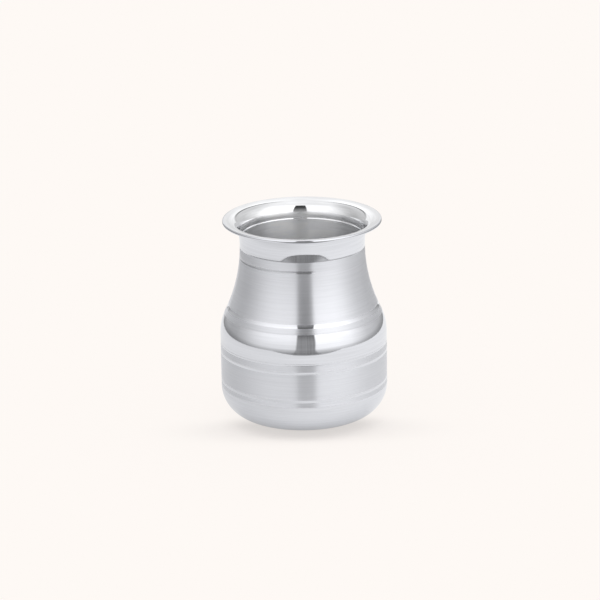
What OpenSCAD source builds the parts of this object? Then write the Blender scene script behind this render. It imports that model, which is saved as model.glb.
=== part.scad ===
// A small lota: a round-bellied pot of thin sheet steel with a flared mouth.
// A pressed bowl and a spun upper shell meet edge to edge on the belly and are
// welded all round. The mouth's edge is folded back under itself to make the lip.
// The origin is the centre of the flat base, with +Z up through the mouth.

/* [Body] */
// Height from the base to the top of the lip
height = 66; // [62:0.5:76]
// Outside diameter of the belly, the widest place
belly_d = 53.5; // [51:0.5:58]
// Outside diameter of the collar, the narrowest place
neck_d = 40; // [36:0.5:43]
// Outside diameter of the lip
mouth_d = 50.8; // [50:0.2:56]
// Thickness of the sheet
wall = 0.5; // [0.4:0.05:0.7]

/* [Base and heel] */
// Diameter of the flat that it stands on
base_d = 24.6; // [18:0.2:28]
// Radius of the slow curve between the flat and the heel
bottom_r = 22.5; // [19:0.5:40]
// Radius of the heel, where the bottom turns up into the belly
heel_r = 10; // [6:0.5:11]

/* [Shoulder and collar] */
// Height where the upright belly ends and the shoulder starts
shoulder_z = 28.4; // [26:0.2:32]
// Radius of the shoulder
shoulder_r = 15.5; // [11:0.5:20]
// Distance from the top of the lip down to the foot of the upright collar
mouth_h = 8.5; // [7:0.1:12]

/* [Mouth] */
// Radius under the flare
flare_r = 4.3; // [3.4:0.1:4.5]
// Rise of the flange towards the lip, in degrees
flange_rise = 8; // [2:1:14]
// Width of the edge that is folded back under the lip
fold_w = 1; // [0.6:0.1:1.2]

/* [Seam] */
// Distance from the shoulder's start down to the middle of the seam
seam_down = 4.4; // [2.6:0.1:7]
// Width of the weld on the outside
weld_w = 1.2; // [0.8:0.1:1.6]
// Width of the weld's root on the inside
root_w = 0.8; // [0.5:0.05:0.8]
// Height of the low bead that the weld leaves inside
bead_h = 0.15; // [0.08:0.01:0.25]

/* [Turned lines] */
// Depth of a turned line
line_depth = 0.12; // [0.06:0.01:0.18]
// Width of a fine line
line_w = 0.7; // [0.5:0.05:0.9]
// Width of the bright line low on the neck
bright_line_w = 1.1; // [0.9:0.05:1.4]
// Distance between the two lines that frame the seam
seam_band_w = 2.8; // [2.6:0.1:3.8]
// Distance from the heel up to the lower of the two lines near it
heel_line_up = 1.1; // [1:0.1:4]
// Distance between the two lines near the heel
heel_pair_w = 1.3; // [1.2:0.1:4]
// Distance from the foot of the neck up to its bright line
bright_line_up = 2.1; // [1.6:0.1:6]
// Distance from the collar's foot down to the line under it
neck_line_down = 3.3; // [1.5:0.1:8]
// Distance from the collar's foot up to the line on it
collar_line_up = 0; // [0:0.1:1.6]

/* [Hidden] */
$fn = 180;
// Largest distance between an arc and the chords drawn for it
arc_tolerance = 0.004;
sheet_colour = [0.80, 0.81, 0.83];
weld_colour = [0.72, 0.73, 0.76];

belly_r = belly_d / 2;
neck_r = neck_d / 2;
base_r = base_d / 2;

// The bottom's slow curve and the heel share a tangent at this angle
heel_angle = asin((belly_r - base_r - heel_r) / (bottom_r - heel_r));
bottom_centre = [base_r, bottom_r];
heel_centre = [belly_r - heel_r, bottom_r - (bottom_r - heel_r) * cos(heel_angle)];

// The neck is one hollow arc, upright at the collar and tangent to the shoulder
collar_z = height - mouth_h;
shoulder_centre = [belly_r - shoulder_r, shoulder_z];
neck_in = neck_r - shoulder_centre[0];
neck_rise = collar_z - shoulder_z;
neck_arc_r = (neck_in * neck_in + neck_rise * neck_rise - shoulder_r * shoulder_r)
    / (2 * (shoulder_r - neck_in));
neck_centre = [neck_r + neck_arc_r, collar_z];
neck_angle = atan2(neck_rise, neck_centre[0] - shoulder_centre[0]);

// The flange runs at a slope into a fold as thick as two sheets
flange_along = [cos(flange_rise), sin(flange_rise)];
flange_up = [-sin(flange_rise), cos(flange_rise)];
fold_centre = [mouth_d / 2 - wall, height - wall];
flare_turn = 90 - flange_rise;
flare_end_r = neck_r + flare_r * (1 - cos(flare_turn));
flare_z = fold_centre[1] - (fold_centre[0] - flare_end_r) * tan(flange_rise)
    - flare_r * sin(flare_turn);
flare_centre = [neck_r + flare_r, flare_z];

seam_z = shoulder_z - seam_down;

// Number of chords for an arc, so that none strays from it by more than the tolerance
function chords(r, sweep) = max(2, ceil(sweep / (2 * acos(1 - arc_tolerance / r))));

// Points of an arc about a centre, from one angle to another, in a number of chords
function arc(centre, r, from, to, n) =
    [for (i = [0:n]) centre + r * [cos(from + (to - from) * i / n), sin(from + (to - from) * i / n)]];

// Radius of a round tool that cuts a line of this width to the line's depth
function tool_r(w) = (w * w / 4 + line_depth * line_depth) / (2 * line_depth);

// Tool centres, so that the tool bites in by the line's depth and no more
function on_upright(r, z, w) = [r + tool_r(w) - line_depth, z];
function on_neck(angle, w) = neck_centre
    - (neck_arc_r - tool_r(w) + line_depth) * [cos(angle), sin(angle)];

// Angle down the neck's arc at a height
function neck_angle_at(z) = asin((collar_z - z) / neck_arc_r);

// Half section of the bowl's sheet between the axis and the seam
function bowl_curve(inset) = concat(
    arc(bottom_centre, bottom_r - inset, -90, heel_angle - 90, chords(bottom_r, heel_angle)),
    arc(heel_centre, heel_r - inset, heel_angle - 90, 0, chords(heel_r, 90 - heel_angle)));

// Half section of the shoulder, the neck and the flare, set in from the outside
function shoulder_curve(inset) = arc(shoulder_centre, shoulder_r - inset, 0, neck_angle,
    chords(shoulder_r, neck_angle));
function neck_curve(inset) = arc(neck_centre, neck_arc_r + inset, 180 + neck_angle, 180,
    chords(neck_arc_r, neck_angle));
function flare_curve(inset) = arc(flare_centre, flare_r + inset, 180, 180 - flare_turn,
    chords(flare_r, flare_turn));
function upper_curve(inset) = concat(shoulder_curve(inset), neck_curve(inset), flare_curve(inset));

function reversed(points) = [for (i = [len(points) - 1:-1:0]) points[i]];

// The edge folded under the lip, from its end under the flange round to the top
fold_end = fold_centre - fold_w * flange_along;
function fold_curve() = concat(
    arc(fold_end - flange_up * wall / 2, wall / 2, 90 + flange_rise, 270 + flange_rise,
        chords(wall / 2, 180)),
    arc(fold_centre, wall, flange_rise - 90, 0, chords(wall, 90)),
    arc(fold_centre, wall, 0, 90, chords(wall, 90)),
    arc(fold_centre, wall, 90, 90 + flange_rise, chords(wall, flange_rise)));

module turned_line(tool_centre, w) {
    rotate_extrude() translate(tool_centre) circle(r = tool_r(w), $fn = 48);
}

module lower_bowl() {
    heel_top = heel_centre[1];
    color(sheet_colour) difference() {
        rotate_extrude() polygon(concat(
            [[0, wall], [0, 0]],
            bowl_curve(0),
            [[belly_r, seam_z - weld_w / 2], [belly_r - wall, seam_z - root_w / 2]],
            reversed(bowl_curve(wall))));
        for (z = [heel_top + heel_line_up, heel_top + heel_line_up + heel_pair_w,
                seam_z - seam_band_w / 2])
            turned_line(on_upright(belly_r, z, line_w), line_w);
    }
}

module seam_weld() {
    bead_r = (root_w * root_w / 4 + bead_h * bead_h) / (2 * bead_h);
    bead_half = asin(root_w / 2 / bead_r);
    bead_centre = [belly_r - wall - bead_h + bead_r, seam_z];
    color(weld_colour) rotate_extrude() polygon(concat(
        [[belly_r, seam_z - weld_w / 2], [belly_r, seam_z + weld_w / 2]],
        arc(bead_centre, bead_r, 180 - bead_half, 180 + bead_half, chords(bead_r, 2 * bead_half))));
}

module upper_shell() {
    color(sheet_colour) difference() {
        rotate_extrude() polygon(concat(
            [[belly_r, seam_z + weld_w / 2]],
            upper_curve(0),
            fold_curve(),
            reversed(upper_curve(wall)),
            [[belly_r - wall, seam_z + root_w / 2]]));
        turned_line(on_upright(belly_r, seam_z + seam_band_w / 2, line_w), line_w);
        turned_line(on_neck(neck_angle, line_w), line_w);
        turned_line(on_neck(neck_angle_at(neck_foot_z() + bright_line_up), bright_line_w),
            bright_line_w);
        turned_line(on_neck(neck_angle_at(collar_z - neck_line_down), line_w), line_w);
        turned_line(on_upright(neck_r, collar_z + collar_line_up, line_w), line_w);
    }
}

// Height where the neck's arc leaves the shoulder
function neck_foot_z() = collar_z - neck_arc_r * sin(neck_angle);

lower_bowl();
seam_weld();
upper_shell();
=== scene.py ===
# %% [markdown]
# # A small steel lota
#
# A lota is a round-bellied water pot. This one is thin stainless sheet, 66 mm high: a pressed
# bowl, a shell spun on a lathe above it, and a weld round the belly where the two edges meet.
# The lathe also leaves its looks: rings of mirror polish, fields of fine satin, a few turned
# lines. The solids come in first. They fix the pot's size and place, and the finished pieces
# replace them one for one.

# %% Load the pot's solids
import math

import bpy
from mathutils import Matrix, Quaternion, Vector


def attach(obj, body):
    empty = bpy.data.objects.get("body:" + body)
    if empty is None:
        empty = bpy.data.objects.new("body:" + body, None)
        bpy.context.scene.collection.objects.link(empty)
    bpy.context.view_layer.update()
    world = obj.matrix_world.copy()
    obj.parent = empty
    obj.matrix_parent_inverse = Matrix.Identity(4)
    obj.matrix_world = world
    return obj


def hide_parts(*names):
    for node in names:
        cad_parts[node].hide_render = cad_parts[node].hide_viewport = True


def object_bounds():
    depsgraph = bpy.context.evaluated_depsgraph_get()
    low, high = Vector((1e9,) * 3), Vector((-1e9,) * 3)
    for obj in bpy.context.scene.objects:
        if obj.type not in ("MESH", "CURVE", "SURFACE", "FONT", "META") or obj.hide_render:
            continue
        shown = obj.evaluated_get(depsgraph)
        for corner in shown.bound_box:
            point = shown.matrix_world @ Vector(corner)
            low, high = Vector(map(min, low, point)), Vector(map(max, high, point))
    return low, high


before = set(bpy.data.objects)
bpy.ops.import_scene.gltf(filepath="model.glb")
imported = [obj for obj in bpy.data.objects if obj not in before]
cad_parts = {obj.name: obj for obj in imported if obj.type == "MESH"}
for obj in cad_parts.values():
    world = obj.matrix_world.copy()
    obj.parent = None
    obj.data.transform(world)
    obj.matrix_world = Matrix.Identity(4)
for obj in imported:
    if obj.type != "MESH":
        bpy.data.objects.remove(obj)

MM = 0.001
cad_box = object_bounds()
belly_r = cad_box[1].x / MM
height = cad_box[1].z / MM
print(f"the pot is {2 * belly_r:.1f} mm across and {height:.1f} mm high")

# %% [markdown]
# ## Camera
#
# The pot was photographed from about a metre away through a long lens, from a little above,
# which is why the mouth is a flat ellipse and the sides hardly converge. The camera stands on
# a line through the middle of the pot, then aims a touch higher to leave the pot low in the
# frame. It also leans by a degree, as it did for the photograph.

# %% Place the camera
CAMERA_ELEVATION = math.radians(17.9)
CAMERA_DISTANCE = 1100 * MM
CAMERA_LEAN = math.radians(0.9)
LENS = 205.3
SENSOR_WIDTH = 36.0
NEAREST_SEEN = 0.05
AIM = Vector((-1.0, 0.0, 38.6)) * MM


def place_camera():
    """The camera looks along +Y and down at the pot."""
    camera = bpy.data.objects.new("camera", bpy.data.cameras.new("camera"))
    bpy.context.scene.collection.objects.link(camera)
    back = Vector((0.0, -math.cos(CAMERA_ELEVATION), math.sin(CAMERA_ELEVATION)))
    camera.location = Vector((0.0, 0.0, height / 2 * MM)) + CAMERA_DISTANCE * back
    look = (AIM - camera.location).to_track_quat("-Z", "Y")
    camera.rotation_mode = "QUATERNION"
    camera.rotation_quaternion = look @ Quaternion((0.0, 0.0, 1.0), -CAMERA_LEAN)
    camera.data.lens = LENS
    camera.data.sensor_width = SENSOR_WIDTH
    camera.data.clip_start = NEAREST_SEEN
    bpy.context.scene.camera = camera
    return camera


camera = place_camera()
print("camera at", [round(v, 3) for v in camera.location], "m")

# %% [markdown]
# ## The half section
#
# Everything on this pot is round, so one half section says it all. The sizes below are the
# sheet maker's: where the flat base ends, how tightly the heel turns, where the shoulder
# starts. The neck is one long hollow arc that leaves the shoulder without a corner, so its
# radius isn't chosen. It follows from the other sizes.

# %% Sizes of the body, in millimetres and degrees
WALL = 0.5
BASE_R = 12.3
BOTTOM_R = 22.5
HEEL_R = 10.0
SHOULDER_Z = 28.4
SHOULDER_R = 15.5
NECK_R = 20.0
MOUTH_H = 8.5


def cosd(angle):
    """Cosine of an angle in degrees."""
    return math.cos(math.radians(angle))


def sind(angle):
    """Sine of an angle in degrees."""
    return math.sin(math.radians(angle))


heel_angle = math.degrees(math.asin((belly_r - BASE_R - HEEL_R) / (BOTTOM_R - HEEL_R)))
bottom_centre = Vector((BASE_R, BOTTOM_R))
heel_centre = Vector((belly_r - HEEL_R, BOTTOM_R - (BOTTOM_R - HEEL_R) * cosd(heel_angle)))

collar_z = height - MOUTH_H
shoulder_centre = Vector((belly_r - SHOULDER_R, SHOULDER_Z))
neck_in = NECK_R - shoulder_centre.x
neck_rise = collar_z - SHOULDER_Z
neck_arc_r = (neck_in**2 + neck_rise**2 - SHOULDER_R**2) / (2 * (SHOULDER_R - neck_in))
neck_centre = Vector((NECK_R + neck_arc_r, collar_z))
neck_angle = math.degrees(math.atan2(neck_rise, neck_centre.x - shoulder_centre.x))
neck_foot_z = collar_z - neck_arc_r * sind(neck_angle)
print(f"neck arc {neck_arc_r:.1f} mm, neck foot at {neck_foot_z:.1f} mm")

# %% Sizes of the flare, the flange and the folded lip
LIP_R = 25.4
FLARE_R = 4.3
FLANGE_RISE = 8.0
FOLD_W = 1.0

flange_along = Vector((cosd(FLANGE_RISE), sind(FLANGE_RISE)))
flange_up = Vector((-sind(FLANGE_RISE), cosd(FLANGE_RISE)))
fold_centre = Vector((LIP_R - WALL, height - WALL))
flare_turn = 90 - FLANGE_RISE
flare_end_r = NECK_R + FLARE_R * (1 - cosd(flare_turn))
flare_z = (fold_centre.y - (fold_centre.x - flare_end_r) * math.tan(math.radians(FLANGE_RISE))
           - FLARE_R * sind(flare_turn))
flare_centre = Vector((NECK_R + FLARE_R, flare_z))
print(f"the flare starts at {flare_z:.1f} mm and turns by {flare_turn:.0f} degrees")

# %% Places of the seam and the turned lines
SEAM_DOWN = 4.4
SEAM_BAND_W = 2.8
HEEL_LINE_UP = 1.1
HEEL_PAIR_W = 1.3
BRIGHT_LINE_UP = 2.1
NECK_LINE_DOWN = 3.6

seam_z = SHOULDER_Z - SEAM_DOWN
heel_line_z = heel_centre.y + HEEL_LINE_UP
heel_line_2_z = heel_line_z + HEEL_PAIR_W
seam_line_low_z = seam_z - SEAM_BAND_W / 2
seam_line_high_z = seam_z + SEAM_BAND_W / 2
bright_line_z = neck_foot_z + BRIGHT_LINE_UP
neck_line_z = collar_z - NECK_LINE_DOWN
line_heights = (heel_line_z, heel_line_2_z, seam_line_low_z, seam_line_high_z, bright_line_z,
                neck_line_z, collar_z)
print("lines at", [round(z, 1) for z in line_heights], "mm")

# %% [markdown]
# ## Arcs and turned lines
#
# A polished surface shows every corner in its section as a kink in the reflection, so arcs
# get many short chords: none strays from the true arc by more than two thousandths of a
# millimetre. A turned line is the track of a round-nosed tool that is pressed on the spinning
# pot. It burnishes more than it cuts, so it dips into the sheet by only about two hundredths
# of a millimetre, and by less at the collar. Drawing the dips into the section, rather than
# painting them, lets them catch light as the real ones do.

# %% Points along arcs
ARC_TOLERANCE = 0.002


def arc(centre, radius, start, end):
    """Points of an arc in degrees, with chords short enough for a mirror finish."""
    step = 2 * math.degrees(math.acos(1 - ARC_TOLERANCE / radius))
    count = max(2, math.ceil(abs(end - start) / step))
    angles = [start + (end - start) * i / count for i in range(count + 1)]
    return [centre + radius * Vector((cosd(a), sind(a))) for a in angles]


print("the heel's quarter turn takes", len(arc(heel_centre, HEEL_R, -90, 0)) - 1, "chords")

# %% The dip of a turned line
LINE_W = 0.7
NECK_LINE_W = 0.9
BRIGHT_LINE_W = 1.1
LINE_DEPTH = 0.02
NECK_LINE_DEPTH = 0.025
COLLAR_LINE_DEPTH = 0.008
EDGE_HOLD = 0.05


def tool_r(width, depth):
    """Radius of a round-nosed tool that leaves a line of this width and depth."""
    return (width**2 / 4 + depth**2) / (2 * depth)


def dip(centre, width, depth, facing):
    """The tool's arc, from the line's lower edge to its upper one."""
    nose_r = tool_r(width, depth)
    half = math.degrees(math.asin(width / 2 / nose_r))
    return arc(centre, nose_r, facing + half, facing - half)


def line_upright(r, z, width, depth=LINE_DEPTH):
    """A line on an upright wall, with a point close to each edge to keep the wall's shading flat."""
    track = dip(Vector((r + tool_r(width, depth) - depth, z)), width, depth, 180)
    reach = width / 2 + EDGE_HOLD
    return [Vector((r, z - reach))] + track + [Vector((r, z + reach))]


def neck_point(angle):
    """The point of the neck's outside at an angle below the collar's foot."""
    return neck_centre - neck_arc_r * Vector((cosd(angle), sind(angle)))


def neck_angle_at(z):
    """How far below the collar's foot a height is, as an angle on the neck's arc."""
    return math.degrees(math.asin((collar_z - z) / neck_arc_r))


def line_on_neck(angle, width):
    """A line on the neck's hollow arc, with the same points beside its edges."""
    lean = Vector((cosd(angle), sind(angle)))
    nose_r = tool_r(width, NECK_LINE_DEPTH)
    nose = neck_centre - (neck_arc_r - nose_r + NECK_LINE_DEPTH) * lean
    track = dip(nose, width, NECK_LINE_DEPTH, 180 + angle)
    reach = math.degrees((width / 2 + EDGE_HOLD) / neck_arc_r)
    return [neck_point(angle + reach)] + track + [neck_point(angle - reach)]


print("a fine line is left by a nose of", round(tool_r(LINE_W, LINE_DEPTH), 2), "mm radius")

# %% [markdown]
# ## Outline of the pressed bowl
#
# The bowl is a disc of sheet pressed into a die: a flat base, a slow curve, a tight heel and
# the upright belly. Its outline runs up the outside of the sheet and back down the inside,
# half a millimetre further in. A Solidify modifier could give the sheet its thickness, but it
# would copy the turned lines through to the inside, where the tool never went, so both sides
# are drawn. At the top the edge is bevelled for the weld.

# %% Outline of the bowl
WELD_W = 1.2
ROOT_W = 0.8


def bowl_curve(inset):
    """Bottom and heel, set in from the outside."""
    return (arc(bottom_centre, BOTTOM_R - inset, -90, heel_angle - 90)
            + arc(heel_centre, HEEL_R - inset, heel_angle - 90, 0))


bowl_outline = [Vector((0, 0)), Vector((BASE_R / 2, 0))]
bowl_outline += bowl_curve(0)
for line_z in (heel_line_z, heel_line_2_z, seam_line_low_z):
    bowl_outline += line_upright(belly_r, line_z, LINE_W)
bowl_outline += [Vector((belly_r, seam_z - WELD_W / 2))]
bowl_outline += [Vector((belly_r - WALL, seam_z - ROOT_W / 2))]
bowl_outline += reversed(bowl_curve(WALL))
bowl_outline += [Vector((BASE_R / 2, WALL)), Vector((0, WALL))]
print("the bowl's outline has", len(bowl_outline), "points")

# %% [markdown]
# ## Outline of the spun shell
#
# The shell is spun over a former: shoulder, hollow neck, collar, flare and flange, and then
# its edge is folded back under to make the lip. A Bezier curve could draw it with a few
# handles. Arcs that run into each other without a corner are nearer to the former, and their
# radii can be measured. Three small things in it matter far more than their size, because
# polished steel shows them. The collar isn't quite upright. It opens gently, and that bends
# the image of the table's edge into a low dome. The folded lip is squared on its outer edge,
# which puts a thin dark line under its bright top. And inside the throat, where the polishing
# wheel stopped, a shallow ledge draws a bright ring.

# %% The neck's outside
def neck_outside():
    """The neck's hollow arc, broken by its turned lines, from the shoulder to the collar."""
    points = []
    drawn_to = neck_angle
    for z, width in ((bright_line_z, BRIGHT_LINE_W), (neck_line_z, NECK_LINE_W)):
        angle = neck_angle_at(z)
        reach = math.degrees((width / 2 + EDGE_HOLD) / neck_arc_r)
        points += arc(neck_centre, neck_arc_r, 180 + drawn_to, 180 + angle + reach)[:-1]
        points += line_on_neck(angle, width)
        drawn_to = angle - reach
    collar_reach = math.degrees((LINE_W / 2 + EDGE_HOLD) / neck_arc_r)
    return points + arc(neck_centre, neck_arc_r, 180 + drawn_to, 180 + collar_reach)[1:-1]


print("the neck's outside has", len(neck_outside()), "points")

# %% The collar and the flare
COLLAR_R = 25.5
COLLAR_TURN = 4
SLOW_FLARE_TURN = 20


def cross(a, b):
    """Cross product of two flat vectors, which solves the two tangent sums below."""
    return a[0] * b[1] - a[1] * b[0]


def unit_way(turn_from, turn_to):
    """How far an arc of radius 1 goes out and up between two angles from upright."""
    return cosd(turn_from) - cosd(turn_to), sind(turn_to) - sind(turn_from)


def flare_outside():
    """The outside of collar and flare: nearly upright, then slowly out, then tight to the lip."""
    collar_centre = Vector((NECK_R + COLLAR_R, collar_z))
    collar_reach = math.degrees((LINE_W / 2 + EDGE_HOLD) / COLLAR_R)
    collar = arc(collar_centre, COLLAR_R, 180 - collar_reach, 180 - COLLAR_TURN)
    start = collar[-1]
    way = (flare_end_r - start.x, flare_z + FLARE_R * sind(flare_turn) - start.y)
    slow = unit_way(COLLAR_TURN, SLOW_FLARE_TURN)
    tight = unit_way(SLOW_FLARE_TURN, flare_turn)
    slow_r = cross(way, tight) / cross(slow, tight)
    tight_r = cross(slow, way) / cross(slow, tight)
    meet = 180 - SLOW_FLARE_TURN
    slow_centre = start + slow_r * Vector((cosd(COLLAR_TURN), -sind(COLLAR_TURN)))
    tight_centre = slow_centre + (slow_r - tight_r) * Vector((cosd(meet), sind(meet)))
    print(f"the flare opens on {slow_r:.1f} mm, then turns on {tight_r:.1f} mm")
    slow_part = arc(slow_centre, slow_r, 180 - COLLAR_TURN, meet)[1:]
    return collar + slow_part + arc(tight_centre, tight_r, meet, 180 - flare_turn)[1:]


collar_and_flare = flare_outside()

# %% The folded lip
EDGE_LEAN = 3
EDGE_R = 0.15


def fold_curve():
    """The edge of the sheet, folded back under the lip, then round and up to the top."""
    edge_end = fold_centre - FOLD_W * flange_along
    under = fold_centre - WALL * flange_up
    lean = Vector((sind(EDGE_LEAN), cosd(EDGE_LEAN)))
    outer = fold_centre + Vector((WALL, 0.0))
    corner = under + cross(outer - under, lean) / cross(flange_along, lean) * flange_along
    turned = 90 - FLANGE_RISE - EDGE_LEAN
    start = corner - EDGE_R * math.tan(math.radians(turned / 2)) * flange_along
    return (arc(edge_end - flange_up * WALL / 2, WALL / 2, 90 + FLANGE_RISE, 270 + FLANGE_RISE)
            + arc(start + EDGE_R * flange_up, EDGE_R, FLANGE_RISE - 90, -EDGE_LEAN)
            + [outer - EDGE_HOLD * lean]
            + arc(fold_centre, WALL, 0, 90)[1:]
            + arc(fold_centre, WALL, 90, 90 + FLANGE_RISE)[1:])


lip = fold_curve()
print(f"the lip reaches {max(p.x for p in lip):.2f} mm out and {max(p.y for p in lip):.2f} mm up")

# %% The throat and the rest of the inside
LEDGE_Z = 60.0
LEDGE_H = 0.5
LEDGE_IN = 0.14
LEDGE_POINTS = 8


def throat_ledge():
    """The small ledge inside the throat, from its upper edge to its lower one."""
    narrow_r = NECK_R - WALL
    slope = []
    for i in range(LEDGE_POINTS + 1):
        share = i / LEDGE_POINTS
        depth = LEDGE_IN * (1 + cosd(180 * share)) / 2
        slope.append(Vector((narrow_r + depth, LEDGE_Z + LEDGE_H * (1 - share))))
    top = slope[0] + Vector((0.0, EDGE_HOLD))
    foot = slope[-1] - Vector((0.0, EDGE_HOLD))
    return [top] + slope + [foot]


def inside_curve():
    """The inside of the shell, from the lip down to the seam."""
    opened_centre = flare_centre + Vector((0.0, LEDGE_IN))
    return (arc(opened_centre, FLARE_R + WALL - LEDGE_IN, 180 - flare_turn, 180)
            + throat_ledge()
            + arc(neck_centre, neck_arc_r + WALL, 180, 180 + neck_angle)
            + arc(shoulder_centre, SHOULDER_R - WALL, neck_angle, 0))


print("the inside has", len(inside_curve()), "points")

# %% Outline of the shell
shell_outline = [Vector((belly_r, seam_z + WELD_W / 2))]
shell_outline += line_upright(belly_r, seam_line_high_z, LINE_W)
shell_outline += arc(shoulder_centre, SHOULDER_R, 0, neck_angle)[:-1]
shell_outline += neck_outside()
shell_outline += line_upright(NECK_R, collar_z, LINE_W, COLLAR_LINE_DEPTH)
shell_outline += collar_and_flare + lip + inside_curve()
shell_outline += [Vector((belly_r - WALL, seam_z + ROOT_W / 2))]
print("the shell's outline has", len(shell_outline), "points")

# %% [markdown]
# ## Outline of the weld
#
# The two bevelled edges leave a gap that is wide outside and narrow inside. The weld fills it,
# is dressed flush with the belly, and leaves a low bead in the pot. A torus pushed into the
# wall would show the bead, but it would overlap both sheets. So the weld's own section is
# drawn, and it meets them face to face.

# %% Outline of the weld
BEAD_H = 0.15

bead_r = (ROOT_W**2 / 4 + BEAD_H**2) / (2 * BEAD_H)
bead_half = math.degrees(math.asin(ROOT_W / 2 / bead_r))
bead_centre = Vector((belly_r - WALL - BEAD_H + bead_r, seam_z))
weld_outline = [Vector((belly_r, seam_z - WELD_W / 2)), Vector((belly_r, seam_z + WELD_W / 2))]
weld_outline += arc(bead_centre, bead_r, 180 - bead_half, 180 + bead_half)
print("the weld's outline has", len(weld_outline), "points")

# %% [markdown]
# ## Turning a piece
#
# The pot could be built from a cylinder with many loop cuts, or with a Screw modifier. Spin in
# edit mode is closest to how the real one is made, on a lathe: the section is drawn once and
# swept round the axis. A plane is merged into one point, the point is extruded along the
# outline, and Spin sweeps the line. Afterwards the doubled seam and the poles are merged and
# the normals are turned outwards, because a spun mesh can come out inside out.

# %% A lathe made of operators
SPIN_STEPS = 256
MERGE_DISTANCE = 2e-6
SHARP_ANGLE = math.radians(32)


def drop_doubles(outline):
    """The outline without points that repeat the one before."""
    kept = [outline[0]]
    for point in outline[1:]:
        if (point - kept[-1]).length * MM > MERGE_DISTANCE:
            kept.append(point)
    return kept


def turn(name, outline, ring):
    """A piece turned from its half section. A ring's outline closes on itself."""
    points = [Vector((p.x, 0.0, p.y)) * MM for p in drop_doubles(outline)]
    if ring:
        points.append(points[0])
    bpy.ops.object.select_all(action="DESELECT")
    bpy.ops.mesh.primitive_plane_add(size=MM)
    piece = bpy.context.object
    piece.name = piece.data.name = name
    bpy.ops.object.mode_set(mode="EDIT")
    bpy.ops.mesh.merge(type="CENTER")
    bpy.ops.transform.translate(value=points[0])
    for here, there in zip(points, points[1:]):
        bpy.ops.mesh.extrude_vertices_move(TRANSFORM_OT_translate={"value": there - here})
    bpy.ops.mesh.select_all(action="SELECT")
    bpy.ops.mesh.remove_doubles(threshold=MERGE_DISTANCE)
    bpy.ops.mesh.spin(steps=SPIN_STEPS, angle=2 * math.pi, center=(0, 0, 0), axis=(0, 0, 1))
    bpy.ops.mesh.select_all(action="SELECT")
    bpy.ops.mesh.remove_doubles(threshold=MERGE_DISTANCE)
    bpy.ops.mesh.normals_make_consistent(inside=False)
    bpy.ops.object.mode_set(mode="OBJECT")
    bpy.ops.object.shade_smooth_by_angle(angle=SHARP_ANGLE)
    print(f"{name}: {len(points)} points in its section, {len(piece.data.polygons)} faces")
    return piece


print("the lathe turns in", SPIN_STEPS, "steps")


# %% Turn the three pieces
bowl = turn("lower_bowl_sheet", bowl_outline, ring=False)
shell = turn("upper_shell_sheet", shell_outline, ring=True)
weld = turn("seam_weld_ring", weld_outline, ring=True)

# %% [markdown]
# ## Steel
#
# The whole pot is one metal, so one recipe makes every finish and mostly the roughness
# differs. The satin comes from fine abrasive held against the turning pot. Its scratches run
# round the pot, so a reflection smears up and down but stays sharp from side to side. In the
# shader that is strong anisotropy, with the tangent turned a quarter so that the smear stands
# upright. Where the pot was buffed afterwards the roughness drops almost to a mirror. First
# come a few helpers that add nodes, so that the recipe can be read like a sum.

# %% Small helpers for shader nodes
def add_node(tree, kind, **settings):
    """A new node with its settings."""
    made = tree.nodes.new(kind)
    for key, value in settings.items():
        setattr(made, key, value)
    return made


def wire(tree, value, socket):
    """Links a node's socket, or sets a plain number or vector."""
    if isinstance(value, bpy.types.NodeSocket):
        tree.links.new(value, socket)
    else:
        socket.default_value = value


def math_node(tree, operation, *values):
    """The result of a Math node for these values."""
    made = add_node(tree, "ShaderNodeMath", operation=operation)
    for value, socket in zip(values, made.inputs):
        wire(tree, value, socket)
    return made.outputs[0]


def plus(tree, a, b):
    """The sum a + b."""
    return math_node(tree, "ADD", a, b)


def minus(tree, a, b):
    """The difference a - b."""
    return math_node(tree, "SUBTRACT", a, b)


def times(tree, a, b):
    """The product of a and b."""
    return math_node(tree, "MULTIPLY", a, b)


def hypotenuse(tree, a, b):
    """The distance that a and b make as two sides of a right angle."""
    return math_node(tree, "SQRT", plus(tree, times(tree, a, a), times(tree, b, b)))


print("helpers for sums are ready")

# %% Ramps, places and empty materials
def ramp(tree, value, low, high, to_low=0.0, to_high=1.0, smooth=True):
    """A value mapped from one range to another, with soft ends unless it is to be straight."""
    kind = "SMOOTHSTEP" if smooth else "LINEAR"
    made = add_node(tree, "ShaderNodeMapRange", interpolation_type=kind)
    for number, socket in zip((value, low, high, to_low, to_high), made.inputs):
        wire(tree, number, socket)
    return made.outputs[0]


def ramp_mm(tree, value, span, to_low=0.0, to_high=1.0):
    """The same between two places in millimetres."""
    return ramp(tree, value, span[0] * MM, span[1] * MM, to_low, to_high)


def blend(tree, share, a, b):
    """A number between two others, by a share of the second."""
    made = add_node(tree, "ShaderNodeMix", data_type="FLOAT")
    wire(tree, share, made.inputs["Factor"])
    wire(tree, a, made.inputs["A"])
    wire(tree, b, made.inputs["B"])
    return made.outputs["Result"]


def object_place(tree):
    """The x, y and z of a place on the piece itself."""
    parts = add_node(tree, "ShaderNodeSeparateXYZ")
    tree.links.new(add_node(tree, "ShaderNodeTexCoord").outputs["Object"], parts.inputs[0])
    return parts.outputs


def empty_material(name):
    """A node material with nothing in it but an output, and that output's surface socket."""
    material = bpy.data.materials.new(name)
    material.use_nodes = True
    tree = material.node_tree
    tree.nodes.clear()
    return material, tree, add_node(tree, "ShaderNodeOutputMaterial").inputs["Surface"]


print("helpers for ramps and materials are ready")

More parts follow.
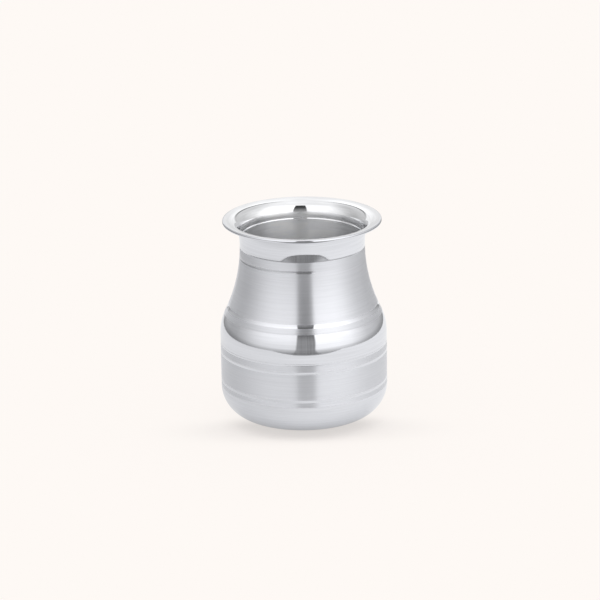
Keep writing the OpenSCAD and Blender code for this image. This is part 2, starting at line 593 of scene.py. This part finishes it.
# %% [markdown]
# ## Turning marks
#
# The abrasive's fine marks could come from an image of scratches, but that would have to be
# unwrapped and would blur close up. Noise needs no unwrapping and stays sharp. Here it is
# stretched round the pot: its height counts fifty times more than its place round the axis.
# Height plus radius is used in place of height, so that the marks also ring the flat base and
# the flange, where the height hardly changes. The same noise varies the roughness and the
# tone, and raises a bump some thousandths of a millimetre deep.

# %% Noise that follows the turning
ROUND_SHARE = 0.02
FINE_GRAIN_MM = 0.35
BROAD_GRAIN_MM = 1.6
FINE_DETAIL = 4
SOFT_DETAIL = 3
BROAD_SEED_STEP = 5
NOISE_ROUGHNESS = 0.6
NOISE_MIDDLE = (0.3, 0.7)


def ringed(tree, place, round_share):
    """Coordinates for noise: slow round the pot, fast along its section."""
    x, y, z = place
    joined = add_node(tree, "ShaderNodeCombineXYZ")
    wire(tree, times(tree, x, round_share), joined.inputs[0])
    wire(tree, times(tree, y, round_share), joined.inputs[1])
    wire(tree, plus(tree, z, hypotenuse(tree, x, y)), joined.inputs[2])
    return joined.outputs[0]


def noise(tree, coordinates, grain_mm, detail, seed):
    """Noise whose grains are about grain_mm long along the section."""
    made = add_node(tree, "ShaderNodeTexNoise", noise_dimensions="4D")
    tree.links.new(coordinates, made.inputs["Vector"])
    made.inputs["W"].default_value = seed
    made.inputs["Scale"].default_value = 1 / (grain_mm * MM)
    made.inputs["Detail"].default_value = detail
    made.inputs["Roughness"].default_value = NOISE_ROUGHNESS
    return made.outputs["Fac"]


print("turning marks are about", FINE_GRAIN_MM, "mm apart")

# %% [markdown]
# ## Bands of polish
#
# The outside changes finish by height: a plain polished heel, satin on the belly, a mirror
# shoulder, satin up the neck, and a mirror again from the collar to the lip. Most turned lines
# are bright too, because the tool burnished them. Each finish could be a material of its own,
# but then the mesh would need an edge at every change. A mask by height needs none. A band is a
# pair of heights and, where it isn't fully polished, its share of polish. Soft steps at both
# ends make the mask, and the masks are added up. The same kind of mask sets a tone: the neck's
# satin is a little paler than the belly's.

# %% Heights of the mirror bands, in millimetres
BAND_EDGE = 0.08
BELOW_BASE = -1.0
ABOVE_LIP = height + 1.0
POLISHED_LINE_W = 0.84
HEEL_POLISH_DOWN = 0.7
SEAM_LINE_POLISH = (-0.25, 0.2)
SHOULDER_POLISH_UP = 0.4
SHOULDER_POLISH_DOWN = 0.3
NECK_SATIN_UP = 0.2
NECK_SATIN_PAINTED_LIGHT = 0.055


def line_band(z, width=POLISHED_LINE_W):
    """A band of this width about a height."""
    return z - width / 2, z + width / 2


collar_polish_z = line_band(collar_z)[0]
MIRROR_BANDS = [
    (BELOW_BASE, heel_line_z - HEEL_POLISH_DOWN),
    line_band(heel_line_2_z),
    line_band(seam_line_low_z),
    (seam_line_high_z + SEAM_LINE_POLISH[0], seam_line_high_z + SEAM_LINE_POLISH[1]),
    (seam_line_high_z + SHOULDER_POLISH_UP, neck_foot_z - SHOULDER_POLISH_DOWN),
    line_band(bright_line_z, BRIGHT_LINE_W),
    (collar_polish_z, ABOVE_LIP),
]
# The neck's paler satin is painted light.
PAINTED_LIGHT_BANDS = [(neck_foot_z + NECK_SATIN_UP, collar_polish_z, NECK_SATIN_PAINTED_LIGHT)]


def band_mask(tree, z, bands):
    """One inside the bands, or the band's own strength, and nought between them."""
    total = 0.0
    for low, high, *strength in bands:
        share = strength[0] if strength else 1.0
        rise = ramp_mm(tree, z, (low - BAND_EDGE, low + BAND_EDGE), 0.0, share)
        fall = ramp_mm(tree, z, (high - BAND_EDGE, high + BAND_EDGE), 0.0, share)
        total = plus(tree, total, minus(tree, rise, fall))
    return math_node(tree, "MINIMUM", total, 1.0)


print("mirror bands:", [(round(band[0], 1), round(band[1], 1)) for band in MIRROR_BANDS])

# %% [markdown]
# ## A line with painted shade
#
# The line high on the neck isn't even. On the pot's left it is polished, and painted shade makes
# it a soft grey line. At the front a painted reflection of the dark slot makes it darkest. On the
# right it has neither, only its shallow dip. An image could be painted for it, but two ramps
# are enough, which read the place from side to side.

# %% The neck's line, with its painted shade
NECK_LINE_BAND = line_band(neck_line_z, NECK_LINE_W)
NECK_LINE_SIDE_X = (2.6, 4.6)
NECK_LINE_POLISH = 0.6
# Painted shade on the line's left, and a painted reflection of the dark slot at its front.
NECK_LINE_PAINTED_SHADE = -0.10
FRONT_X = 0.4
FRONT_HALF = (2.0, 2.7)
NECK_LINE_PAINTED_REFLECTION = -0.22


def neck_line_polish_and_shade(tree, x, z):
    """Polish of the neck's line, and its painted shade and painted reflection."""
    band = band_mask(tree, z, [NECK_LINE_BAND])
    left = ramp_mm(tree, x, NECK_LINE_SIDE_X, 1.0, 0.0)
    off_front = math_node(tree, "ABSOLUTE", minus(tree, x, FRONT_X * MM))
    front = ramp_mm(tree, off_front, FRONT_HALF, NECK_LINE_PAINTED_REFLECTION, 0.0)
    tone = plus(tree, times(tree, left, NECK_LINE_PAINTED_SHADE), front)
    return times(tree, band, times(tree, left, NECK_LINE_POLISH)), times(tree, band, tone)


print(f"the worn line fades out between x {NECK_LINE_SIDE_X[0]} and {NECK_LINE_SIDE_X[1]} mm")

# %% [markdown]
# ## The inside
#
# Inside, only the throat was buffed, as far as the wheel reached: a mirror at the top, part
# polished from there to the ledge, and a bright ring on the ledge itself. Below it the sheet
# is a rougher, cloudier satin. Its colour carries painted light at the front and back and
# painted shade at the sides, where the inside reflects its own darker walls.

# %% Polish, painted light and painted shade of the inside
PART_POLISH_UP = 0.1
PART_POLISH_TOP = 62.3
PART_POLISH = 0.3
THROAT_MIRROR_Z = 62.4
THROAT_BANDS = [
    (LEDGE_Z, LEDGE_Z + LEDGE_H),
    (LEDGE_Z + LEDGE_H + PART_POLISH_UP, PART_POLISH_TOP, PART_POLISH),
    (THROAT_MIRROR_Z, ABOVE_LIP),
]
# Painted light at the inside's front and back, painted shade at its sides.
PAINTED_SHADE_X = (8, 20)
PAINTED_LIGHT_AND_SHADE = (0.12, -0.30)
CLOUD_ROUND_SHARE = 0.22
CLOUD_GRAIN_MM = 2.4
CLOUD_SEED_STEP = 9


def inside_painted_light_and_shade(tree, x, polish):
    """Painted light at the front and back and painted shade at the sides, which the polished rings
    don't have.
    """
    change = ramp_mm(tree, math_node(tree, "ABSOLUTE", x), PAINTED_SHADE_X, *PAINTED_LIGHT_AND_SHADE)
    return plus(tree, times(tree, change, minus(tree, 1.0, polish)), 1.0)


def cloudy_tone(tree, place, mottle, seed):
    """Soft clouds in the satin, lighter and darker by the mottle's share."""
    clouds = noise(tree, ringed(tree, place, CLOUD_ROUND_SHARE), CLOUD_GRAIN_MM, SOFT_DETAIL, seed)
    return ramp(tree, clouds, *NOISE_MIDDLE, 1 - mottle, 1 + mottle)


print(f"the throat is a mirror above {THROAT_MIRROR_Z} mm, and its ledge is at {LEDGE_Z} mm")

# %% [markdown]
# ## The recipe
#
# The parts above come together in one function. It gives a Principled shader its roughness,
# colour and bump from the same noise and the same polish, so that a buffed ring loses its
# marks as well as its haze. Metal, anisotropy and its turn are the same all over, so they are
# set on the shader itself.

# %% The steel recipe
STEEL_COLOUR = (0.765, 0.773, 0.808)
SATIN_ROUGHNESS = 0.31
MIRROR_ROUGHNESS = 0.045
FINE_ROUGHNESS = 0.10
BROAD_ROUGHNESS = 0.04
FINE_TONE = (0.96, 1.03)
MARK_DEPTH = 0.003
MARKS_BUFFED_OFF = 0.9
QUARTER_TURN = 0.25


def steel_roughness(tree, polish, fine, broad, satin):
    """Satin or mirror roughness, each with a little variation of its own."""
    uneven = times(tree, broad, BROAD_ROUGHNESS)
    satin_here = plus(tree, satin - FINE_ROUGHNESS / 2, times(tree, fine, FINE_ROUGHNESS))
    satin_here = plus(tree, satin_here, uneven)
    mirror_here = plus(tree, MIRROR_ROUGHNESS - BROAD_ROUGHNESS / 2, uneven)
    return blend(tree, polish, satin_here, mirror_here)


def steel_colour(tree, colour, tone):
    """The metal's colour times its tone at a place."""
    tint = add_node(tree, "ShaderNodeMix", data_type="RGBA", blend_type="MULTIPLY")
    tint.inputs["Factor"].default_value = 1.0
    tint.inputs["A"].default_value = (*colour, 1.0)
    tree.links.new(tone, tint.inputs["B"])
    return tint.outputs["Result"]


def turning_marks(tree, polish, fine, depth_mm):
    """A bump for the marks that buffing hasn't taken away."""
    left = minus(tree, 1.0, times(tree, polish, MARKS_BUFFED_OFF))
    bump = add_node(tree, "ShaderNodeBump")
    tree.links.new(times(tree, fine, left), bump.inputs["Height"])
    bump.inputs["Strength"].default_value = 1.0
    bump.inputs["Distance"].default_value = depth_mm * MM
    return bump.outputs[0]


def steel(name, bands, satin=SATIN_ROUGHNESS, grain=1.0, colour=STEEL_COLOUR, marks=MARK_DEPTH,
          mottle=0.0, tone_bands=(), shaded_neck_line=False, paint_inside_light_and_shade=False, seed=1.0):
    """Turned stainless steel, satin except in its mirror bands."""
    material, tree, surface = empty_material(name)
    place = object_place(tree)
    x, _, z = place
    rings = ringed(tree, place, ROUND_SHARE)
    fine = noise(tree, rings, FINE_GRAIN_MM, FINE_DETAIL, seed)
    broad = noise(tree, rings, BROAD_GRAIN_MM, SOFT_DETAIL, seed + BROAD_SEED_STEP)

    polish = band_mask(tree, z, bands) if bands else 0.0
    tone = ramp(tree, fine, *NOISE_MIDDLE, *FINE_TONE)
    if tone_bands:
        tone = plus(tree, tone, band_mask(tree, z, tone_bands))
    if shaded_neck_line:
        line_polish, line_painted_shade = neck_line_polish_and_shade(tree, x, z)
        polish = plus(tree, polish, line_polish)
        tone = plus(tree, tone, line_painted_shade)
    if mottle:
        tone = times(tree, tone, cloudy_tone(tree, place, mottle, seed + CLOUD_SEED_STEP))
    if paint_inside_light_and_shade:
        tone = times(tree, tone, inside_painted_light_and_shade(tree, x, polish))

    shader = add_node(tree, "ShaderNodeBsdfPrincipled")
    wire(tree, steel_roughness(tree, polish, fine, broad, satin), shader.inputs["Roughness"])
    wire(tree, steel_colour(tree, colour, tone), shader.inputs["Base Color"])
    wire(tree, turning_marks(tree, polish, fine, marks), shader.inputs["Normal"])
    tangent = add_node(tree, "ShaderNodeTangent", direction_type="RADIAL", axis="Z")
    tree.links.new(tangent.outputs[0], shader.inputs["Tangent"])
    shader.inputs["Metallic"].default_value = 1.0
    shader.inputs["Anisotropic"].default_value = grain
    shader.inputs["Anisotropic Rotation"].default_value = QUARTER_TURN
    tree.links.new(shader.outputs[0], surface)
    print("material", name, "with", len(bands), "mirror bands")
    return material


print("roughness of satin", SATIN_ROUGHNESS, "and of a mirror", MIRROR_ROUGHNESS)


# %% The three finishes
outside_steel = steel("turned_steel_outside", MIRROR_BANDS, tone_bands=PAINTED_LIGHT_BANDS, shaded_neck_line=True)
# The inside's steel is paler than the outside's: painted light that lifts the dim inside.
inside_steel = steel("satin_steel_inside", THROAT_BANDS, satin=0.43, grain=0.85,
                     colour=(0.89, 0.895, 0.91), marks=0.012, mottle=0.07, paint_inside_light_and_shade=True, seed=3.0)
weld_steel = steel("weld_steel", [], satin=0.5, colour=(0.62, 0.62, 0.63), seed=7.0)

# %% [markdown]
# ## Which faces get which finish
#
# The sheet is one piece with two sides, so its inner faces get a second material. They could
# be picked by hand, but a rule still holds when the outline changes: an outside face points
# away from the axis or down, an inside face points at the axis or up. The flange's upper side
# looks in, so it has the throat's mirror, and the lip's outer edge belongs to the outside.

# %% Give the pieces their steel
LEVEL_NORMAL = 0.5


def faces_inwards(face):
    """True where a face looks at the pot's axis, or up from its floor."""
    centre = face.center
    outward = Vector((centre.x, centre.y, 0.0))
    if centre.z < height / 2 * MM and abs(face.normal.z) > LEVEL_NORMAL:
        return face.normal.z > 0
    return face.normal.dot(outward) < 0


def finish_piece(piece, node, outside, inside):
    """The two finishes on a piece, and its place in the frame."""
    piece.data.materials.append(outside)
    piece.data.materials.append(inside)
    for face in piece.data.polygons:
        face.material_index = 1 if faces_inwards(face) else 0
    inner = sum(face.material_index for face in piece.data.polygons)
    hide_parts(node)
    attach(piece, "root")
    print(f"{piece.name}: {inner} of {len(piece.data.polygons)} faces are inside")


finish_piece(bowl, "lower_bowl", outside_steel, inside_steel)
finish_piece(shell, "upper_shell", outside_steel, inside_steel)
finish_piece(weld, "seam_weld", outside_steel, weld_steel)

# %% [markdown]
# ## The floor, and the table in the reflections
#
# Polished steel has hardly a colour of its own. What shows on it is the studio. The camera
# sees a plain pale floor without an end. In reflections the same floor is a pale table, a
# little darker on the left and near the pot, that ends in front of the pot. Its front edge is
# straight in the middle and bends away from the pot at both ends. The collar shows what lies
# beyond that edge as a dark dome, and the shoulder shows it as a dark line. Two planes, each
# hidden from one kind of ray, would do too. One plane whose material asks the Light Path node
# is simpler to keep level with the pot's foot.

# %% Brightness of the table
TABLE_R = 215
TABLE_LIGHT = (0.82, 1.02)
POT_SHADE_R = (12, 25)
POT_SHADE = 0.5
NEAR_SHADE_R = (60, 110)
NEAR_SHADE_X = (-45, 30)
NEAR_SHADE = 0.86


def table_light(tree, x, from_axis):
    """The table's brightness in reflections: up to the right, down under and near the pot."""
    light = ramp(tree, x, -TABLE_R * MM, TABLE_R * MM, *TABLE_LIGHT, smooth=False)
    light = times(tree, light, ramp_mm(tree, from_axis, POT_SHADE_R, POT_SHADE, 1.0))
    left = minus(tree, 1.0, ramp_mm(tree, x, NEAR_SHADE_X, NEAR_SHADE, 1.0))
    near = ramp_mm(tree, from_axis, NEAR_SHADE_R, 1.0, 0.0)
    return times(tree, light, minus(tree, 1.0, times(tree, left, near)))


print(f"the table is {2 * TABLE_R} mm across")

# %% The table's front edge
TABLE_FRONT = 133
FRONT_SLOPE = 0.06
FRONT_MIDDLE_X = 20
FRONT_STRAIGHT = 48
FRONT_BEND = 0.23
EDGE_SHADE_MM = (3, 8)
EDGE_SHADE = 0.15


def behind_front(tree, x, y):
    """How far a place lies behind the table's front edge."""
    distance = minus(tree, plus(tree, y, TABLE_FRONT * MM), times(tree, x, FRONT_SLOPE))
    off_middle = math_node(tree, "ABSOLUTE", minus(tree, x, FRONT_MIDDLE_X * MM))
    bent = math_node(tree, "MAXIMUM", minus(tree, off_middle, FRONT_STRAIGHT * MM), 0.0)
    return plus(tree, distance, times(tree, bent, FRONT_BEND))


print(f"the table ends {TABLE_FRONT} mm in front of the pot's axis")

# %% [markdown]
# ## The shadow under the pot
#
# The floor is mostly its own light, so that it renders as the photograph's pale paper. The
# rest of it is lit like any other surface, and only that share can take a shadow. The share
# grows towards the foot of the pot, inside a flat ellipse, and that sets how deep and how
# wide the soft contact shadow looks. A shadow catcher could do this as well, but it needs a
# second step that puts the picture together.

# %% The floor's own glow
FLOOR_GLOW = 0.90
CONTACT_GLOW = (0.56, 0.42)
CONTACT_GLOW_R = (18, 26)
CONTACT_CENTRE_Y = -16
CONTACT_HALF = (60, 16)
CONTACT_INNER = 0.35


def floor_glow(tree, x, y, from_axis):
    """Share of the floor's look that is its own light."""
    across = math_node(tree, "DIVIDE", x, CONTACT_HALF[0] * MM)
    along = math_node(tree, "DIVIDE", minus(tree, y, CONTACT_CENTRE_Y * MM), CONTACT_HALF[1] * MM)
    at_contact = ramp_mm(tree, from_axis, CONTACT_GLOW_R, *CONTACT_GLOW)
    return ramp(tree, hypotenuse(tree, across, along), CONTACT_INNER, 1.0, at_contact, FLOOR_GLOW)


print(f"{FLOOR_GLOW:.0%} of the open floor's light is its own")

# %% Build the floor
BACKDROP_COLOUR = (0.991, 0.947, 0.913)
FLOOR_R = 6.0
FLOOR_CORNERS = 64


def floor_colour(tree, seen, reflected):
    """Plain paper to the camera, the table's brightness to everything else."""
    made = add_node(tree, "ShaderNodeMix", data_type="RGBA")
    tree.links.new(seen, made.inputs["Factor"])
    tree.links.new(reflected, made.inputs["A"])
    made.inputs["B"].default_value = (*BACKDROP_COLOUR, 1.0)
    return made.outputs["Result"]


def mixed_shader(tree, share, a, b):
    """Two shaders mixed by the share of the second."""
    made = add_node(tree, "ShaderNodeMixShader")
    wire(tree, share, made.inputs[0])
    tree.links.new(a.outputs[0], made.inputs[1])
    tree.links.new(b.outputs[0], made.inputs[2])
    return made


def floor_material():
    """Paper to the camera, a table with an end to reflections."""
    material, tree, surface = empty_material("pale_floor")
    ray = add_node(tree, "ShaderNodeLightPath").outputs
    x, y, _ = object_place(tree)
    from_axis = hypotenuse(tree, x, y)
    from_front = behind_front(tree, x, y)
    light = times(tree, table_light(tree, x, from_axis),
                  ramp_mm(tree, from_front, EDGE_SHADE_MM, EDGE_SHADE, 1.0))
    colour = floor_colour(tree, ray["Is Camera Ray"], light)
    diffuse = add_node(tree, "ShaderNodeBsdfDiffuse")
    tree.links.new(colour, diffuse.inputs["Color"])
    glow = add_node(tree, "ShaderNodeEmission")
    tree.links.new(colour, glow.inputs["Color"])
    lit = mixed_shader(tree, floor_glow(tree, x, y, from_axis), diffuse, glow)
    past_rim = math_node(tree, "GREATER_THAN", from_axis, TABLE_R * MM)
    past_front = math_node(tree, "LESS_THAN", from_front, 0.0)
    past_edge = math_node(tree, "MAXIMUM", past_rim, past_front)
    gone = times(tree, past_edge, ray["Is Glossy Ray"])
    ended = mixed_shader(tree, gone, lit, add_node(tree, "ShaderNodeBsdfTransparent"))
    tree.links.new(ended.outputs[0], surface)
    return material


def build_floor():
    """A wide pale floor. In reflections it ends at the table's edge."""
    bpy.ops.object.select_all(action="DESELECT")
    bpy.ops.mesh.primitive_circle_add(vertices=FLOOR_CORNERS, radius=FLOOR_R, fill_type="NGON")
    floor = bpy.context.object
    floor.name = "floor"
    floor.data.materials.append(floor_material())
    return floor


floor = build_floor()
print("the floor reaches", FLOOR_R, "m out")

# %% [markdown]
# ## The table's rim
#
# Behind and beside the pot the table's edge stands in shade, drawn as a thin rim of painted shade,
# which sharpens the line on the shoulder. In front it would draw that line twice, so its faces
# there are picked by their place and deleted. Only reflections show the rim.

# %% Build the rim
RIM_H = 5
RIM_FRONT = 142
RIM_CORNERS = 128
# Near black: painted shade for the table's edge.
RIM_PAINTED_SHADE = (0.02, 0.02, 0.02, 1.0)


def build_table_rim():
    """A thin wall of painted shade round the table, open in front."""
    bpy.ops.object.select_all(action="DESELECT")
    bpy.ops.mesh.primitive_cylinder_add(
        vertices=RIM_CORNERS, radius=TABLE_R * MM, depth=RIM_H * MM, end_fill_type="NOTHING",
        location=(0, 0, RIM_H / 2 * MM))
    rim = bpy.context.object
    rim.name = "table_rim"
    for face in rim.data.polygons:
        face.select = face.center.y < -RIM_FRONT * MM
    bpy.ops.object.mode_set(mode="EDIT")
    bpy.ops.mesh.delete(type="FACE")
    bpy.ops.object.mode_set(mode="OBJECT")
    material = bpy.data.materials.new("rim_painted_shade")
    material.use_nodes = True
    material.node_tree.nodes["Principled BSDF"].inputs["Base Color"].default_value = RIM_PAINTED_SHADE
    rim.data.materials.append(material)
    rim.visible_camera = False
    rim.visible_diffuse = False
    rim.visible_shadow = False
    return rim


table_rim = build_table_rim()
print("the rim keeps", len(table_rim.data.polygons), "of its", RIM_CORNERS, "faces")

# %% [markdown]
# ## Light
#
# Two plain lights fall on what isn't a mirror: a dome from all sides and a broad lamp straight
# above. Together they are at the level where a colour renders as it is written. The lamp
# isn't seen in the steel, because the tent below is what the steel shows.

# %% The dome's strength and the lamp above
DOME = 0.4
OVERHEAD_SPREAD = math.radians(95)


def build_overhead():
    """A broad soft lamp straight above, which brings the light on the floor up to white."""
    bpy.ops.object.light_add(type="SUN")
    lamp = bpy.context.object
    lamp.name = "overhead"
    lamp.data.energy = (1 - DOME) * math.pi
    lamp.data.angle = OVERHEAD_SPREAD
    lamp.visible_glossy = False
    return lamp


overhead = build_overhead()
print(f"the dome gives {DOME:.0%} of the light and the lamp the rest")

# %% [markdown]
# ## The tent
#
# In reflections the dome becomes the photographer's tent. Its cloth is bright beside the
# camera, brightest on the right, greyer at the sides and pale behind. It grows lighter
# upwards, and below the table's level it is a darker skirt. Two dark corners stand behind the
# pot. The cloth is a colour ramp over the compass direction, and the height of a direction is
# its z: nought is level and one is straight up. Panels of real cloth would do too, but the
# world costs no time and leaves the floor's shadow alone.

# %% The cloth all round
CLOTH_LIGHT = [  # azimuth from the camera, brightness of the cloth there
    (-180, 0.80), (-168, 0.95), (-152, 1.0), (-147, 0.64), (-120, 0.50), (-106, 0.52),
    (-89, 0.68), (-74, 0.87), (-61, 0.99), (-45, 1.05), (-20, 1.05), (-10, 0.98), (10, 1.12),
    (20, 1.28), (50, 1.32), (69, 1.22), (83, 1.0), (99, 0.77), (130, 0.60), (155, 0.64),
    (160, 1.0), (168, 0.95), (180, 0.80),
]
CLOTH_PEAK = 1.4


def cloth_all_round(tree, x, y):
    """Brightness of the cloth by its azimuth, from a colour ramp with one stop for each step."""
    azimuth = math_node(tree, "ARCTAN2", x, times(tree, y, -1.0))
    cloth = add_node(tree, "ShaderNodeValToRGB")
    wire(tree, ramp(tree, azimuth, -math.pi, math.pi, smooth=False), cloth.inputs["Fac"])
    stops = cloth.color_ramp.elements
    while len(stops) < len(CLOTH_LIGHT):
        stops.new(0.5)
    for stop, (degrees, light) in zip(stops, CLOTH_LIGHT):
        stop.position = (degrees + 180) / 360
        stop.color = (light / CLOTH_PEAK, light / CLOTH_PEAK, light / CLOTH_PEAK, 1.0)
    return times(tree, cloth.outputs["Color"], CLOTH_PEAK)


print("the tent's cloth has", len(CLOTH_LIGHT), "steps of brightness")

# %% The cloth from skirt to roof
CLOTH_RISE = (-0.1, 0.7)
CLOTH_RISE_LIGHT = (0.90, 1.19)
SKIRT = (-0.2, 0.0)
SKIRT_LIGHT = (0.40, 1.0)
SKIRT_HEM = (-0.35, -0.22)
SKIRT_HEM_LIGHT = 0.15
CORNER_AZIMUTHS = (158, -150)
CORNER_WIDTH = (3.5, 1.5)
CORNER_RISE = (0.25, 0.6)
CORNER_FOOT = 0.3
CORNER_DARK = 0.85
ROOF_RISE = (0.75, 0.97)
ROOF_LIGHT = 1.0


def level_direction(azimuth):
    """Unit vector in plan. Azimuth 0 points at the camera and 90 along +X."""
    return Vector((sind(azimuth), -cosd(azimuth), 0.0))


def nearness(tree, level, direction):
    """Cosine of the angle in plan between two directions, which has no seam behind the pot."""
    dot = add_node(tree, "ShaderNodeVectorMath", operation="DOT_PRODUCT")
    tree.links.new(level, dot.inputs[0])
    wire(tree, direction, dot.inputs[1])
    return dot.outputs["Value"]


def cloth_light(tree, x, y, up, level):
    """Brightness of the tent without its slot."""
    light = cloth_all_round(tree, x, y)
    light = times(tree, light, ramp(tree, up, *CLOTH_RISE, *CLOTH_RISE_LIGHT))
    skirt = plus(tree, ramp(tree, up, *SKIRT, *SKIRT_LIGHT, smooth=False),
                 ramp(tree, up, *SKIRT_HEM, SKIRT_HEM_LIGHT, 0.0))
    light = times(tree, light, skirt)
    for azimuth in CORNER_AZIMUTHS:
        near = nearness(tree, level, level_direction(azimuth))
        corner = ramp(tree, near, cosd(CORNER_WIDTH[0]), cosd(CORNER_WIDTH[1]))
        corner = times(tree, corner, ramp(tree, up, *CORNER_RISE, CORNER_FOOT, 1.0))
        light = times(tree, light, minus(tree, 1.0, times(tree, corner, CORNER_DARK)))
    return blend(tree, ramp(tree, up, *ROOF_RISE), light, ROOF_LIGHT)


print("the tent has", len(CORNER_AZIMUTHS), "dark corners, a skirt and a roof")

# %% [markdown]
# ## The slot
#
# The dark stripe down the front of the pot is the slot in the tent that the camera looks
# through. It leans a little, spreads wide at its foot, and gets darker towards its top, where
# it ends short of the roof. Fine folds in the dark cloth round the camera give the stripe its
# upright streaks. A dark card with a hole could stand there. A mask in the world does the
# same, and it can't come between the camera and the pot.

# %% Shape and light of the slot
SLOT_HALF_WIDTH = 13
SLOT_AZIMUTH_LOW = 2.3
SLOT_AZIMUTH_HIGH = 3.2
SLOT_LEAN = (-0.1, 0.3)
SLOT_EDGE = 0.006
SLOT_FOOT = (-0.42, 0.05)
SLOT_FOOT_POWER = 4.0
SLOT_FOOT_SPREAD = 0.45
SLOT_TOP = 63.5
SLOT_TOP_EDGE = 1
SLOT_RISE = (0.25, 0.8)
SLOT_LIGHT = (0.34, 0.05)
SLOT_HEM = (-0.22, -0.08)
SLOT_HEM_LIGHT = 0.78
FOLD_SCALE = 26.0
FOLD_DETAIL = 2
FOLD_LIGHT = (0.84, 1.12)


def slot_mask(tree, up, level):
    """One inside the slot and nought outside it."""
    leaning = add_node(tree, "ShaderNodeMix", data_type="VECTOR")
    wire(tree, ramp(tree, up, *SLOT_LEAN), leaning.inputs["Factor"])
    leaning.inputs["A"].default_value = level_direction(SLOT_AZIMUTH_LOW)
    leaning.inputs["B"].default_value = level_direction(SLOT_AZIMUTH_HIGH)
    near = nearness(tree, level, leaning.outputs["Result"])
    foot = ramp(tree, up, *SLOT_FOOT, 1.0, 0.0, smooth=False)
    spread = times(tree, math_node(tree, "POWER", foot, SLOT_FOOT_POWER), SLOT_FOOT_SPREAD)
    edge = cosd(SLOT_HALF_WIDTH)
    inside = ramp(tree, near, minus(tree, edge - SLOT_EDGE, spread), edge + SLOT_EDGE)
    top = (sind(SLOT_TOP - SLOT_TOP_EDGE), sind(SLOT_TOP + SLOT_TOP_EDGE))
    return times(tree, inside, ramp(tree, up, *top, 1.0, 0.0))


def slot_light(tree, up, level):
    """Brightness of the dark cloth in the slot, with its folds."""
    light = ramp(tree, up, *SLOT_RISE, *SLOT_LIGHT)
    light = times(tree, light, ramp(tree, up, *SLOT_HEM, SLOT_HEM_LIGHT, 1.0))
    folds = add_node(tree, "ShaderNodeTexNoise")
    tree.links.new(level, folds.inputs["Vector"])
    folds.inputs["Scale"].default_value = FOLD_SCALE
    folds.inputs["Detail"].default_value = FOLD_DETAIL
    return times(tree, light, ramp(tree, folds.outputs["Fac"], *NOISE_MIDDLE, *FOLD_LIGHT))


print(f"the slot is {2 * SLOT_HALF_WIDTH} degrees wide and {SLOT_TOP} degrees high")

# %% [markdown]
# ## The world
#
# One world holds three looks. A light path node tells them apart: a glossy ray gets the tent,
# a camera ray gets the plain pale backdrop, and every other ray gets the dome.

# %% Build the world
def colour_switch(tree, ray, if_not, if_so):
    """One colour where the ray isn't of a kind, the other where it is."""
    made = add_node(tree, "ShaderNodeMix", data_type="RGBA")
    tree.links.new(ray, made.inputs["Factor"])
    wire(tree, if_not, made.inputs["A"])
    wire(tree, if_so, made.inputs["B"])
    return made.outputs["Result"]


def build_world():
    """The tent, the backdrop and the dome in one world."""
    world = bpy.data.worlds.new("tent")
    bpy.context.scene.world = world
    world.use_nodes = True
    tree = world.node_tree
    tree.nodes.clear()
    direction = add_node(tree, "ShaderNodeTexCoord").outputs["Generated"]
    flat = add_node(tree, "ShaderNodeVectorMath", operation="MULTIPLY")
    tree.links.new(direction, flat.inputs[0])
    flat.inputs[1].default_value = (1, 1, 0)
    flattened = add_node(tree, "ShaderNodeVectorMath", operation="NORMALIZE")
    tree.links.new(flat.outputs[0], flattened.inputs[0])
    level = flattened.outputs[0]
    parts = add_node(tree, "ShaderNodeSeparateXYZ")
    tree.links.new(direction, parts.inputs[0])
    x, y, up = parts.outputs
    tent = blend(tree, slot_mask(tree, up, level), cloth_light(tree, x, y, up, level),
                 slot_light(tree, up, level))
    ray = add_node(tree, "ShaderNodeLightPath").outputs
    unseen = colour_switch(tree, ray["Is Glossy Ray"], (DOME, DOME, DOME, 1.0), tent)
    colour = colour_switch(tree, ray["Is Camera Ray"], unseen, (*BACKDROP_COLOUR, 1.0))
    background = add_node(tree, "ShaderNodeBackground")
    tree.links.new(colour, background.inputs["Color"])
    output = add_node(tree, "ShaderNodeOutputWorld")
    tree.links.new(background.outputs[0], output.inputs["Surface"])
    return world


world = build_world()
print("the world has", len(world.node_tree.nodes), "nodes")

# %% [markdown]
# ## Finish
#
# The picture is shown without a film look, so that colours stay as written.

# %% Colour view
bpy.context.scene.view_settings.view_transform = "Standard"
